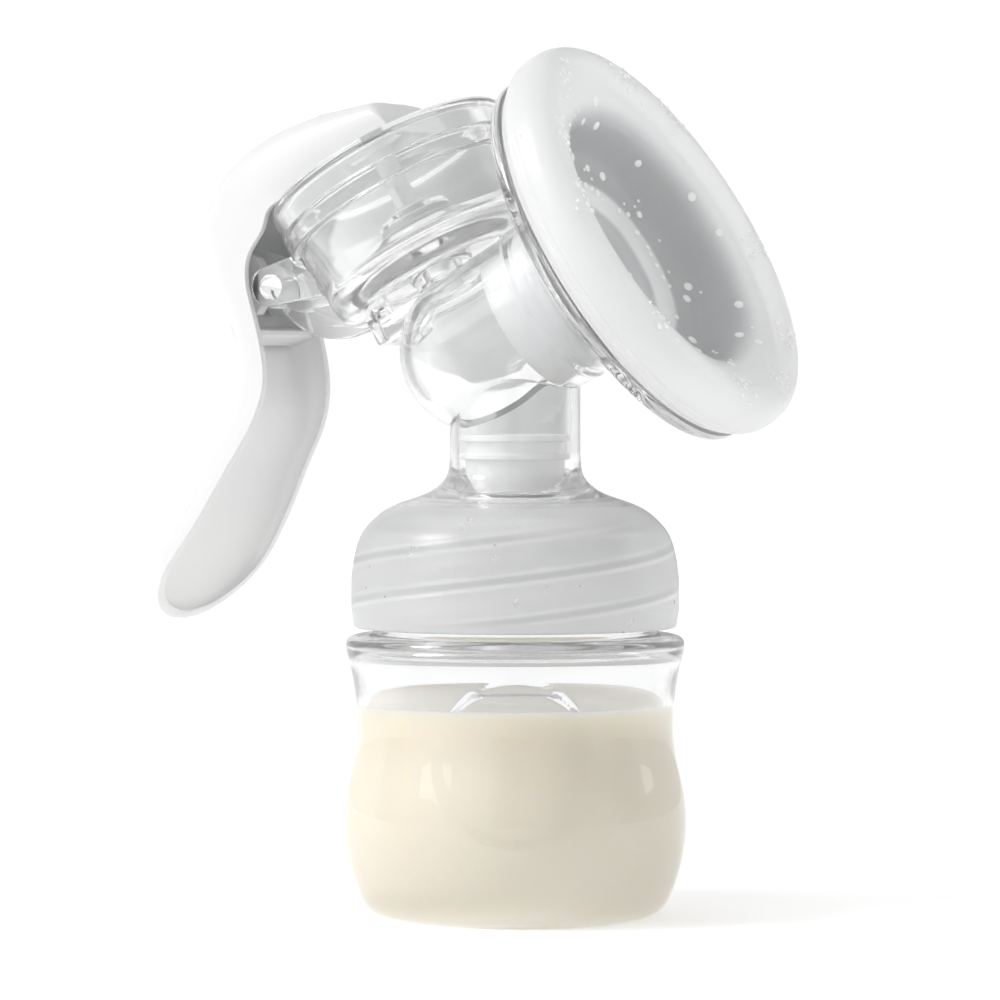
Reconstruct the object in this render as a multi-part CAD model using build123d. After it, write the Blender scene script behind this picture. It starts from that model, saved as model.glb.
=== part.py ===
from build123d import *
import math
import os

# Manual breast pump standing on its bottle.
# World frame: +Z up along the bottle axis, origin at the centre of the bottle's base.
# The pump is symmetric about the plane y = 0. The funnel points to +X and up, the lever hangs at -X.
# Slanted frame (u, v, w): u runs along the funnel axis, w along the diaphragm axis, v is world Y.

os.makedirs("parts", exist_ok=True)

# ---------------------------------------------------------------- driving dimensions (mm, degrees)
TILT = 30.0               # funnel axis above the horizontal
AXIS_Z = 116.5            # height where the funnel axis crosses the bottle axis
GAP = 0.3                 # air between pieces that move past each other

BOTTLE_BULGE_R = 34.05    # widest outside radius of the bottle
BOTTLE_WALL = 2.0
BOTTLE_BASE = 2.6         # thickness of the bottle's base
BOTTLE_NECK_R = 28.2      # outside radius of the threaded mouth
BOTTLE_MOUTH_R = 26.2
SHOULDER_Z = 56.0         # top of the bottle's shoulder
BOTTLE_TOP = 75.0
MILK_LEVEL = 42.3
MILK_GAP = 0.15
COIN_R = 15.0             # round recess on the bottle's front
COIN_Z = 30.2
COIN_DEPTH = 0.6
COIN_TURN = -64.0         # direction the recess faces, about Z from +X

THREAD_LEAD = 24.0        # rise in one turn
THREAD_STARTS = 3
THREAD_RISE = 12.5        # axial length of one start
RIDGE_ROOT = 3.0
RIDGE_CREST = 1.6
BOTTLE_CREST_R = 29.8
COLLAR_CREST_R = 28.7
BOTTLE_THREAD_Z = 59.6    # centre of the first bottle ridge where it starts
THREAD_DROP = 3.2         # collar ridges sit this far under the bottle ridges

COLLAR_R = 32.5
COLLAR_BORE_R = 30.4
COLLAR_Z = 57.4           # lower edge of the collar
NECK_R = 12.9
NECK_BORE_R = 11.2
NECK_FOOT_Z = 79.5

TUBE_R = 16.6             # chamber and funnel tube
TUBE_WALL = 2.0
DOME_U = -8.2             # centre of the chamber's round end, also the diaphragm axis
BOWL_R = 22.8             # bowl outside, at its floor
BOWL_TOP_R = 23.9         # bowl outside, at its rim
BOWL_WALL = 1.6
BOWL_FLOOR_W = 16.3       # underside of the bowl
BOWL_INSIDE_W = 20.2      # inside floor of the bowl
BOWL_RIM_W = 41.6
RING_R = 25.6             # flange and diaphragm rim
RING_TOP_W = 43.5

PIVOT_U = -39.0           # hinge bar
PIVOT_W = 32.4
PIVOT_R = 2.5
PIVOT_CLEAR = 0.06
PIVOT_HALF = 11.0

STEM_W = 48.0             # height of the stem's cross pin on the diaphragm axis
STEM_PIN_R = 1.6
STEM_R = 2.6

HANDLE_HALF = 14.0        # half width of the hood
HANDLE_WALL = 2.2


def slanted(shape):
    """Carry a shape drawn in the slanted frame into the world frame."""
    return Location((0, 0, AXIS_Z), (0, -TILT, 0)) * shape


def slant_point(u, w):
    """World x and z of a point given in the slanted frame, in the plane y = 0."""
    c = math.cos(math.radians(TILT))
    s = math.sin(math.radians(TILT))
    return (u * c - w * s, AXIS_Z + u * s + w * c)


def turned_z(edges):
    """Solid of revolution about Z from edges drawn in the x-z plane."""
    return revolve(Plane.XZ * make_face(edges), Axis.Z, 360)


def disc(r, z0, z1, x=0.0):
    """Cylinder about a vertical axis through (x, 0) from z0 to z1."""
    return Pos(x, 0, (z0 + z1) / 2) * Cylinder(r, z1 - z0)


def cross_bar(r, half, x, z):
    """Cylinder lying along Y."""
    return Pos(x, 0, z) * Rot(90, 0, 0) * Cylinder(r, 2 * half)


def block(x0, x1, y0, y1, z0, z1):
    return Pos((x0 + x1) / 2, (y0 + y1) / 2, (z0 + z1) / 2) * Box(x1 - x0, y1 - y0, z1 - z0)


def plate_y(edges, y0, y1):
    """Plate with an outline in the x-z plane, filling y0 to y1."""
    face = Plane.XZ * make_face(edges)
    return Pos(0, y1, 0) * extrude(face, amount=y1 - y0)


def save(shape, name):
    solid = shape.solids().sort_by(SortBy.VOLUME)[-1]
    solid.label = name
    export_step(solid, "parts/" + name + ".step")
    print(name, "solids", len(shape.solids()), "valid", solid.is_valid, "volume", round(solid.volume, 1))
    return solid


# ---------------------------------------------------------------- threads
def ridge(root_r, crest_r, z_start, turn, rise):
    """One helical ridge of trapezoid section, from root_r to crest_r."""
    mid_r = (root_r + crest_r) / 2
    path = Helix(pitch=THREAD_LEAD, height=rise, radius=mid_r)
    d = (crest_r - root_r) / 2
    start = path @ 0
    section_plane = Plane(origin=start, x_dir=(1, 0, 0), z_dir=path % 0)
    outline = Polyline((-d, -RIDGE_ROOT / 2), (d, -RIDGE_CREST / 2), (d, RIDGE_CREST / 2), (-d, RIDGE_ROOT / 2),
                       close=True)
    body = sweep(section_plane * make_face(outline), path=path, is_frenet=True)
    return Pos(0, 0, z_start) * Rot(0, 0, turn) * body


# ---------------------------------------------------------------- bottle
# the side from the foot to the shoulder, as points joined by arcs that run on smoothly
OUTSIDE = [(25.0, 0), (29.16, 1.72), (31.4, 5.0), (33.35, 11.4), (BOTTLE_BULGE_R, 19.2), (33.3, 26.0),
           (31.9, 32.5), (31.4, 39.0), (33.0, 50.8), (33.6, 53.6)]
INSIDE = [(23.0, BOTTLE_BASE), (27.2, 4.0), (29.9, 7.4), (31.4, 11.9), (BOTTLE_BULGE_R - BOTTLE_WALL, 19.2),
          (31.3, 26.0), (29.9, 32.5), (29.4, 39.0), (31.0, 50.8), (31.6, 53.6)]


def smooth_arcs(points, tangent):
    """Arcs through the points, each starting in the direction in which the last one ended."""
    lines = []
    for start, end in zip(points, points[1:]):
        arc = TangentArc(start, end, tangent=tangent)
        lines.append(arc)
        tangent = arc % 1
    return lines


def bottle_body(side, base_z, top_z, top_r, drop=0):
    """Turned solid inside the side line; drop lowers the underside of the shoulder."""
    lines = Curve() + Line((0, base_z), side[0])
    lines += smooth_arcs(side, (1, 0))
    shoulder = (side[-1][0] - 2.2, SHOULDER_Z - drop)
    lines += ThreePointArc(side[-1], (side[-1][0] - 0.5, SHOULDER_Z - drop - 0.7), shoulder)
    lines += Line(shoulder, (top_r + 1.0, SHOULDER_Z - drop + 0.1))
    lines += Line((top_r + 1.0, SHOULDER_Z - drop + 0.1), (top_r, SHOULDER_Z - drop + 1.1))
    lines += Line((top_r, SHOULDER_Z - drop + 1.1), (top_r, top_z))
    lines += Line((top_r, top_z), (0, top_z))
    lines += Line((0, top_z), (0, base_z))
    return turned_z(lines)


def moved_in(side, inset):
    return [(r - inset, z) for r, z in side]


bottle_outside = bottle_body(OUTSIDE, 0, BOTTLE_TOP, BOTTLE_NECK_R)
bottle_inside = bottle_body(INSIDE, BOTTLE_BASE, BOTTLE_TOP + 5, BOTTLE_MOUTH_R, BOTTLE_WALL)
bottle = bottle_outside
coin_tool = Pos(0, 0, COIN_Z) * Rot(0, 0, COIN_TURN) * Pos(30, 0, 0) * Rot(0, 90, 0) * Cylinder(COIN_R, 40)
bottle_core = bottle_body(moved_in(OUTSIDE, COIN_DEPTH), 0, BOTTLE_TOP, BOTTLE_NECK_R)
bottle -= (bottle_outside - bottle_core) & coin_tool
for k in range(THREAD_STARTS):
    bottle += ridge(BOTTLE_NECK_R - 0.8, BOTTLE_CREST_R, BOTTLE_THREAD_Z, k * 360 / THREAD_STARTS, THREAD_RISE)
bottle -= bottle_inside
bottle -= disc(20.5, -1, 0.5) - disc(15.0, -1, 0.5)
rim_edges = bottle.edges().filter_by(GeomType.CIRCLE).group_by(Axis.Z)[-1]
bottle = fillet(rim_edges, 0.7)
bottle = save(bottle, "bottle")

milk_side = [(r - MILK_GAP, z + MILK_GAP) for r, z in INSIDE]
milk = bottle_body(milk_side, BOTTLE_BASE + MILK_GAP, BOTTLE_TOP, BOTTLE_MOUTH_R - 1, BOTTLE_WALL)
milk &= disc(40, 0, MILK_LEVEL)
milk = save(milk, "milk")


# ---------------------------------------------------------------- pump body
def funnel_shell(inner):
    """Chamber with its round end, tube and flared funnel, about the u axis (drawn as x-z, turned about X)."""
    r = TUBE_R - (TUBE_WALL if inner else 0)
    tip = DOME_U - r
    k = r * math.sqrt(0.5)
    lines = ThreePointArc((tip, 0), (DOME_U - k, k), (DOME_U, r))
    if inner:
        lines += Line((DOME_U, r), (14.6, r))
        lines += Spline((14.6, r), (20.6, 19.6), (25.8, 29.4), (27.4, 37.9), tangents=[(1, 0), (0.1, 1)])
        lines += Line((27.4, 37.9), (31, 37.9))
        lines += Line((31, 37.9), (31, 0))
        lines += Line((31, 0), (tip, 0))
    else:
        lines += Line((DOME_U, r), (13.2, r))
        lines += Spline((13.2, r), (19.2, 21.4), (24.0, 30.2), (25.6, 38.6), tangents=[(1, 0), (0.1, 1)])
        lines += ThreePointArc((25.6, 38.6), (27.2, 40.6), (28.9, 39.0))
        lines += Line((28.9, 39.0), (28.9, 0))
        lines += Line((28.9, 0), (tip, 0))
    return revolve(Plane.XZ * make_face(lines), Axis.X, 360)


def collar_profile_outside():
    lines = Spline((14.2, 86.4), (25.3, 80.9), (30.3, 76.1), (COLLAR_R, 66.0), tangents=[(0.6, -1), (0, -1)])
    lines += Line((COLLAR_R, 66.0), (COLLAR_R, 61.0))
    lines += Line((COLLAR_R, 61.0), (COLLAR_R - 0.6, COLLAR_Z))
    lines += Line((COLLAR_R - 0.6, COLLAR_Z), (0, COLLAR_Z))
    lines += Line((0, COLLAR_Z), (0, 86.4))
    lines += Line((0, 86.4), (14.2, 86.4))
    return turned_z(lines)


def collar_space():
    """Everything hollow under the collar's roof, with the plug ring and neck foot left standing."""
    lines = Polyline((NECK_R, 57.0), (COLLAR_BORE_R, 57.0), (COLLAR_BORE_R, 73.2), (28.4, 75.3), (25.9, 75.3),
                     (25.9, 71.6), (24.3, 71.6), (24.3, 78.9), (20.0, 81.0), (NECK_R, 83.0), close=True)
    ring = turned_z(lines)
    return ring + disc(NECK_R + 0.1, 50, NECK_FOOT_Z)


neck_outside = disc(NECK_R, 78, AXIS_Z - 6)
flare = turned_z(Spline((NECK_R, 91.5), (13.4, 88.6), (14.2, 86.4), tangents=[(0, -1), (0.5, -1)])
                 + Line((14.2, 86.4), (0, 86.4)) + Line((0, 86.4), (0, 91.5)) + Line((0, 91.5), (NECK_R, 91.5)))

bowl_lines = Line((0, BOWL_FLOOR_W), (BOWL_R - 5.0, BOWL_FLOOR_W))
bowl_lines += Spline((BOWL_R - 5.0, BOWL_FLOOR_W), (BOWL_R - 1.0, BOWL_FLOOR_W + 1.9),
                     (BOWL_R, BOWL_FLOOR_W + 5.6), tangents=[(1, 0), (0.05, 1)])
bowl_lines += Line((BOWL_R, BOWL_FLOOR_W + 5.6), (BOWL_TOP_R, 33.8))
bowl_lines += Polyline((BOWL_TOP_R, 33.8), (RING_R - 0.3, 33.8), (RING_R, 34.4), (RING_R, 36.6), (BOWL_TOP_R, 36.6),
                       (BOWL_TOP_R, BOWL_RIM_W), (0, BOWL_RIM_W), (0, BOWL_FLOOR_W))
bowl_outside = Pos(DOME_U, 0, 0) * turned_z(bowl_lines)

bowl_in_r = BOWL_R - BOWL_WALL
bowl_hollow = Line((0, BOWL_INSIDE_W), (bowl_in_r - 4, BOWL_INSIDE_W))
bowl_hollow += Spline((bowl_in_r - 4, BOWL_INSIDE_W), (bowl_in_r - 0.9, BOWL_INSIDE_W + 1.4),
                      (bowl_in_r, BOWL_INSIDE_W + 4.2), tangents=[(1, 0), (0.05, 1)])
bowl_hollow += Polyline((bowl_in_r, BOWL_INSIDE_W + 4.2), (BOWL_TOP_R - BOWL_WALL, 36), (BOWL_TOP_R - BOWL_WALL, 46),
                        (0, 46), (0, BOWL_INSIDE_W))
bowl_inside = Pos(DOME_U, 0, 0) * turned_z(bowl_hollow)
# round recess in the bowl's underside, leaving a foot ring
foot_recess = Pos(DOME_U, 0, 0) * (disc(16.6, 15.0, 18.4) - disc(2, 15.0, 18.4))
# air port between the bowl and the chamber
air_port = disc(3.0, 8, 24, DOME_U)


# saddle web that carries the bowl on the chamber
saddle = block(-26.0, 9.0, -5.0, 5.0, 10.0, 18.6)

# hinge bar, its two lugs and the thin fin between bar and chamber
hinge_bar = cross_bar(PIVOT_R, PIVOT_HALF, PIVOT_U, PIVOT_W)


def hinge_lug(y0, y1):
    eye = plate_y(Circle(4.0).edges(), y0, y1)
    eye = Pos(PIVOT_U, 0, PIVOT_W) * eye
    arm = plate_y(Polyline((PIVOT_U - 1.2, PIVOT_W - 3.8), (-29.5, 24.5), (-26.5, 24.5), (-26.5, 33.8),
                           (-33.0, 35.2), (PIVOT_U + 0.4, PIVOT_W + 3.95), close=True), y0, y1)
    return eye + arm


fin_lines = ThreePointArc((-42.6, 33.0), (-38.4, 22.6), (-29.0, 16.4))
fin_lines += Polyline((-29.0, 16.4), (-22.0, 14.0), (-22.0, 30.0), (-36.0, 34.0), (-42.6, 33.0))
fin = plate_y(fin_lines, -1.1, 1.1)

slant_outer = funnel_shell(False) + bowl_outside + saddle - foot_recess
slant_outer += hinge_bar + hinge_lug(-11.0, -8.4) + hinge_lug(8.4, 11.0) + fin
slant_outer = slanted(slant_outer)
pump_body = slant_outer + neck_outside + flare + collar_profile_outside()
pump_body -= slanted(funnel_shell(True))
pump_body -= slanted(bowl_inside)
pump_body -= slanted(air_port)
pump_body -= disc(NECK_BORE_R, 70, AXIS_Z - 4)
pump_body -= collar_space()
for k in range(THREAD_STARTS):
    pump_body += ridge(COLLAR_BORE_R + 0.5, COLLAR_CREST_R, BOTTLE_THREAD_Z - THREAD_DROP + 3.0,
                       k * 360 / THREAD_STARTS + 45, THREAD_RISE)
pump_body = save(pump_body, "pump_body")

# ---------------------------------------------------------------- cushion
# Soft liner turned about the funnel axis: sleeve in the tube, throat, dotted well, broad rounded lip.
SLEEVE_R = TUBE_R - TUBE_WALL - GAP
SLEEVE_BORE_R = 12.7
SLEEVE_U = 3.5
LIP_R = 42.6
LIP_CREST_U = 40.4

cushion_lines = Line((SLEEVE_U, SLEEVE_BORE_R), (20.0, SLEEVE_BORE_R))
cushion_lines += Spline((20.0, SLEEVE_BORE_R), (24.6, 14.2), (26.6, 17.6), (27.3, 21.6), tangents=[(1, 0), (0.1, 1)])
cushion_lines += Spline((27.3, 21.6), (28.4, 23.7), (32.6, 26.0), (36.4, 28.6), (38.6, 32.6), (LIP_CREST_U, 37.2),
                        (38.9, 41.2), (35.2, LIP_R), (31.4, 42.0), (29.5, 40.4),
                        tangents=[(0.1, 1), (-0.35, -1)])
cushion_lines += Line((29.5, 40.4), (29.2, 37.6))
cushion_lines += Line((29.2, 37.6), (31.4, 37.4))
cushion_lines += Spline((31.4, 37.4), (36.4, 36.0), (36.2, 32.2), (34.4, 29.7), (31.2, 27.6), (27.0, 25.2),
                        (25.6, 22.4), (24.9, 18.6), (23.0, 15.6), (19.5, SLEEVE_R),
                        tangents=[(1, 0), (-1, -0.05)])
cushion_lines += Line((19.5, SLEEVE_R), (SLEEVE_U, SLEEVE_R))
cushion_lines += Line((SLEEVE_U, SLEEVE_R), (SLEEVE_U, SLEEVE_BORE_R))
cushion = revolve(Plane.XZ * make_face(cushion_lines), Axis.X, 360)
cushion = save(slanted(cushion), "cushion")


# ---------------------------------------------------------------- valve
# One-way valve: open cup with two sealing flanges and a duckbill that ends in a slit.
VALVE_TOP = 95.6
VALVE_R = 9.9
VALVE_FLANGE_R = NECK_BORE_R - GAP + 0.1
VALVE_BORE_R = 8.5
BILL_TOP = 84.0
BILL_TIP = 71.5
BILL_HALF = 1.5


def wedge(r, half_tip, z_tip, z_top):
    """Round bar cut by two slopes that close towards the tip."""
    roof = plate_y(Polyline((-r - 1, z_top), (-half_tip, z_tip), (half_tip, z_tip), (r + 1, z_top), close=True),
                   -r, r)
    return roof & disc(r, z_tip, z_top)


valve = disc(VALVE_R, BILL_TOP, VALVE_TOP)
valve += disc(VALVE_FLANGE_R, 94.2, VALVE_TOP)
valve += disc(VALVE_FLANGE_R, 90.6, 91.9)
valve += wedge(VALVE_R, BILL_HALF, BILL_TIP, BILL_TOP)
valve -= disc(VALVE_BORE_R, BILL_TOP, VALVE_TOP + 1)
valve -= wedge(VALVE_BORE_R, 0.2, BILL_TIP + 1.0, BILL_TOP + 0.01)
valve -= block(-0.2, 0.2, -6.5, 6.5, BILL_TIP - 1, BILL_TIP + 2)
valve = save(valve, "valve")

# ---------------------------------------------------------------- diaphragm
# Soft cup that caps the bowl's rim, hangs inside the bowl and holds the stem's foot in its hub.
CUP_R = BOWL_R - BOWL_WALL - 0.9
CUP_W = BOWL_INSIDE_W + 1.4
CUP_WALL = 1.3
HUB_W = 29.6

skirt = Polyline((RING_R, 37.4), (RING_R, RING_TOP_W - 0.9), (RING_R - 0.9, RING_TOP_W), (21.4, RING_TOP_W),
                 (20.9, RING_TOP_W - 0.6), (20.3, 35.0), (CUP_R - CUP_WALL, CUP_W + 5.5))
cup_lines = skirt
cup_lines += Spline((CUP_R - CUP_WALL, CUP_W + 5.5), (CUP_R - CUP_WALL - 2.1, CUP_W + CUP_WALL + 0.9),
                    (CUP_R - CUP_WALL - 5.0, CUP_W + CUP_WALL), (11.2, CUP_W + CUP_WALL + 1.5),
                    (7.6, HUB_W - 2.6), tangents=[(-0.05, -1), (-0.35, 1)])
cup_lines += Polyline((7.6, HUB_W - 2.6), (6.8, HUB_W + 0.6), (6.2, HUB_W + 1.0), (3.0, HUB_W + 1.0),
                      (3.0, HUB_W - 0.2), (5.4, HUB_W - 0.2), (5.4, HUB_W - 2.3), (0, HUB_W - 2.3),
                      (0, HUB_W - 3.8), (6.2, HUB_W - 3.8))
cup_lines += Spline((6.2, HUB_W - 3.8), (9.6, CUP_W + 1.2), (CUP_R - 5.6, CUP_W), (CUP_R - 1.2, CUP_W + 1.7),
                    (CUP_R, CUP_W + 5.4), tangents=[(0.35, -1), (0.05, 1)])
cup_lines += Polyline((CUP_R, CUP_W + 5.4), (21.9, 36.0), (21.9, BOWL_RIM_W + 0.15), (24.1, BOWL_RIM_W + 0.15),
                      (24.1, 37.4), (RING_R, 37.4))
diaphragm = Pos(DOME_U, 0, 0) * turned_z(cup_lines)
diaphragm = save(slanted(diaphragm), "diaphragm")

# ---------------------------------------------------------------- stem
FOOT_R = 5.1
stem_lines = Polyline((0, HUB_W - 2.0), (FOOT_R, HUB_W - 2.0), (FOOT_R, HUB_W - 0.5), (STEM_R + 0.1, HUB_W - 0.5),
                      (STEM_R + 0.1, HUB_W + 1.3), (5.0, HUB_W + 1.3), (5.0, HUB_W + 2.1),
                      (STEM_R + 0.3, HUB_W + 3.4), (STEM_R - 0.2, HUB_W + 6.0), (STEM_R - 0.2, STEM_W + 0.6),
                      (STEM_R - 1.6, STEM_W + 2.0), (0, STEM_W + 2.0), (0, HUB_W - 2.0))
stem = turned_z(stem_lines)
# flat side ribs that stiffen the shaft, and the cross pin the handle hooks under
stem += block(-0.8, 0.8, -4.2, 4.2, HUB_W + 1.4, HUB_W + 8.0)
stem += cross_bar(STEM_PIN_R, 6.4, 0, STEM_W)
stem = Pos(DOME_U, 0, 0) * stem
stem = save(slanted(stem), "stem")

# ---------------------------------------------------------------- handle
# Hood over the diaphragm running down into a hollow, paddle-ended lever.
HOOK_U = DOME_U
HOOD_FLOOR_W = RING_TOP_W + 0.8


back = [(-33.2, 160.5), (-42.5, 158.4), (-51.3, 154.3), (-58.8, 148.2), (-63.2, 141.0), (-64.0, 134.0),
        (-62.2, 126.5), (-58.6, 118.0), (-55.0, 110.5), (-53.8, 104.4), (-55.3, 97.5), (-58.8, 90.6),
        (-63.3, 81.1), (-68.0, 71.4), (-71.9, 65.0), (-75.6, 59.4)]
front = [(-73.6, 57.9), (-70.2, 62.6), (-65.0, 71.0), (-59.6, 80.9), (-54.4, 90.6), (-50.9, 97.5), (-48.9, 104.4),
         (-49.7, 111.0), (-51.6, 119.0), (-53.0, 126.5), (-52.6, 130.8), (-50.4, 134.4)]
hood_front_top = slant_point(1.0, 52.0)
hood_front = slant_point(1.8, HOOD_FLOOR_W)
hood_heel = slant_point(-29.6, HOOD_FLOOR_W)

side_outline = Spline(hood_front_top, *back, tangents=[(-1, 0.15), (-0.55, -1)])
side_outline += ThreePointArc(back[-1], (-75.4, 57.6), front[0])
side_outline += Spline(*front, tangents=[(0.62, 0.7), (0.9, 0.75)])
side_outline += Line(front[-1], hood_heel)
side_outline += Line(hood_heel, hood_front)
side_outline += Line(hood_front, hood_front_top)


def width_outline(inset):
    """Half widths of the handle against height, mirrored about y = 0 (drawn in the y-z plane)."""
    right = [(9.6, 59.3), (16.6, 62.8), (19.8, 68.6), (20.4, 74.4), (19.3, 81.1), (17.0, 90.6), (15.1, 98.5),
             (HANDLE_HALF, 108.0)]
    right = [(y - inset, z) for y, z in right]
    left = [(-y, z) for y, z in reversed(right)]
    lines = Spline(*left, (0, 57.4 + inset), *right, tangents=[(0, -1), (0, 1)])
    lines += Line(right[-1], (HANDLE_HALF - inset, 170))
    lines += Line((HANDLE_HALF - inset, 170), (inset - HANDLE_HALF, 170))
    lines += Line((inset - HANDLE_HALF, 170), left[0])
    return extrude(Plane.YZ * make_face(lines), amount=90, both=True)


# hood and upper lever: straight across, with broad rounded back edges
JOIN_Z = 107.0
hood = plate_y(side_outline, -HANDLE_HALF, HANDLE_HALF) - block(-90, -20, -30, 30, 50, JOIN_Z)
long_edges = [e for e in hood.edges() if e.length > 50 and e.center().X < -58]
hood = fillet(long_edges, 4.5)
front_edges = [e for e in hood.edges() if abs(e.center().Y) < 1 and e.center().Z > 160]
hood = fillet(front_edges, 2.5)

# lower lever: level slices (height, half width, back x, front x) that widen into the paddle
slices = [(JOIN_Z + 0.4, 14.0, -54.15, -49.1), (101.0, 14.5, -54.3, -49.5), (94.5, 15.9, -56.7, -52.3),
          (87.5, 17.9, -60.2, -56.0), (80.5, 19.5, -63.6, -59.8), (73.5, 20.4, -67.0, -63.8),
          (68.0, 19.6, -70.0, -66.8), (63.0, 16.6, -73.2, -70.0), (59.6, 10.6, -75.5, -72.4),
          (57.8, 4.0, -76.4, -73.8)]


def lever_slice(z, half, back_x, front_x):
    r = min(4.5, 0.62 * (front_x - back_x))
    k = r * (1 - math.sqrt(0.5))
    lines = Line((front_x, -half), (front_x, half))
    lines += Line((front_x, half), (back_x + r, half))
    lines += ThreePointArc((back_x + r, half), (back_x + k, half - k), (back_x, half - r))
    lines += Line((back_x, half - r), (back_x, r - half))
    lines += ThreePointArc((back_x, r - half), (back_x + k, k - half), (back_x + r, -half))
    lines += Line((back_x + r, -half), (front_x, -half))
    return Pos(0, 0, z) * make_face(lines)


lever = loft([lever_slice(*row) for row in slices])
handle_block = hood + lever

# inside line of the roof and back wall: the back line moved in by the wall thickness
inner_top = slant_point(-0.6, 50.2)
inner = [(-34.0, 158.2), (-42.3, 156.0), (-50.1, 152.3), (-57.0, 146.6), (-61.0, 140.2), (-61.8, 134.0),
         (-60.0, 127.2), (-56.5, 118.8), (-52.8, 111.0), (-51.5, 104.4), (-53.2, 96.7), (-56.9, 89.5),
         (-61.4, 80.1), (-66.3, 70.4), (-70.6, 63.9)]
cavity_lines = Spline(inner_top, *inner, tangents=[(-1, 0.15), (-0.55, -0.95)])
cavity_lines += Polyline(inner[-1], (-60, 56), (-20, 100), slant_point(-0.6, 36.0), inner_top)
cavity = plate_y(cavity_lines, -30, 30) & width_outline(HANDLE_WALL)
handle = handle_block - cavity

# clip plates round the hinge bar, open towards the diaphragm so the bar can snap in
pivot = slant_point(PIVOT_U, PIVOT_W)
clip_in_y = 4.4
clip_out_y = 7.6
for side in (-1, 1):
    y0 = min(side * clip_in_y, side * clip_out_y)
    y1 = y0 + clip_out_y - clip_in_y
    web = plate_y(Polyline((pivot[0] + 0.5, pivot[1] + 4.4), (-53.5, 131.4), (-62.8, 134.0), (-61.0, 126.0),
                           (-58.0, 119.4), (-54.0, 119.2), (pivot[0] + 0.5, pivot[1] - 4.4), close=True), y0, y1)
    eye = Pos(pivot[0], 0, pivot[1]) * plate_y(Circle(4.4).edges(), y0, y1)
    handle += web + eye
handle -= cross_bar(PIVOT_R + PIVOT_CLEAR, 8.2, pivot[0], pivot[1])
snap = Pos(pivot[0], 0, pivot[1]) * Rot(0, 20, 0) * block(0, 8, -8.2, 8.2, -2.15, 2.15)
handle -= snap

# hook plates under the hood: the stem's cross pin slides in their open-ended slots
HOOK_IN_Y = 2.9
HOOK_OUT_Y = 5.3
SLOT_HALF = STEM_PIN_R + 0.6
hook_lines = Polyline((HOOK_U - 6.0, 57.5), (HOOK_U - 5.0, HOOD_FLOOR_W + 0.2), (HOOK_U + 7.8, HOOD_FLOOR_W + 0.2),
                      (HOOK_U + 8.2, 52.5), close=True)
for side in (-1, 1):
    y0 = min(side * HOOK_IN_Y, side * HOOK_OUT_Y)
    hook = plate_y(hook_lines, y0, y0 + HOOK_OUT_Y - HOOK_IN_Y)
    handle += slanted(hook) & plate_y(side_outline, -30, 30)
slot = block(HOOK_U, HOOK_U + 7.0, -7, 7, STEM_W - SLOT_HALF, STEM_W + SLOT_HALF)
slot += cross_bar(SLOT_HALF, 7, HOOK_U, STEM_W) + cross_bar(SLOT_HALF, 7, HOOK_U + 7.0, STEM_W)
handle -= slanted(slot)

# cross ribs that stiffen the lever
rib_lines = Polyline((-58.4, 117.6), (-56.6, 113.6), (-52.0, 115.0), (-52.2, 116.6), close=True)
handle += plate_y(rib_lines, -HANDLE_HALF + 1.0, HANDLE_HALF - 1.0)
handle = save(handle, "handle")
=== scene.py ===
"""Manual breast pump on its bottle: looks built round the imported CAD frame.

Lengths are millimetres, scaled by MM. Slanted parts use (u, v, w): u runs out through the funnel,
w up through the diaphragm bowl.
"""
import bpy
import bmesh
import math
import numpy as np
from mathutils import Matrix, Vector


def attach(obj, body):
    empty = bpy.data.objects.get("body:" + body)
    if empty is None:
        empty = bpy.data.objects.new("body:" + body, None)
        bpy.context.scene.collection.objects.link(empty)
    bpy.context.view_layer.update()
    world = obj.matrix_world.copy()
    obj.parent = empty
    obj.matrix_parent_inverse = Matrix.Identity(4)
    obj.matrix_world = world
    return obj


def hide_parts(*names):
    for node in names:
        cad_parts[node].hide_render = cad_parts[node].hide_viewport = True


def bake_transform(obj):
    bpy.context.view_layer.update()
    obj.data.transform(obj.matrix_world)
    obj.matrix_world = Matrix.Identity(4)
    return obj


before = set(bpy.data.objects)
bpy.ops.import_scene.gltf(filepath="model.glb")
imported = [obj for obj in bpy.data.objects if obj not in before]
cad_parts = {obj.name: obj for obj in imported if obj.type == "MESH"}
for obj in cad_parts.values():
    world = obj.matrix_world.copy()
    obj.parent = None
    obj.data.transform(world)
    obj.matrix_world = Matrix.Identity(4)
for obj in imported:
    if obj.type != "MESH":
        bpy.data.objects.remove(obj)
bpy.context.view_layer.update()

MM = 0.001
TILT = math.radians(30.0)       # how far the funnel points up
AXIS_Z = 116.5                  # height where the funnel axis crosses the bottle axis
DOME_U = -8.2                   # where the bowl axis meets the funnel axis
HINGE_U, HINGE_W = -39.0, 32.4  # the handle turns here
SLOT_W = 48.0                   # the stem's cross pin in the hook plates' slots


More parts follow.
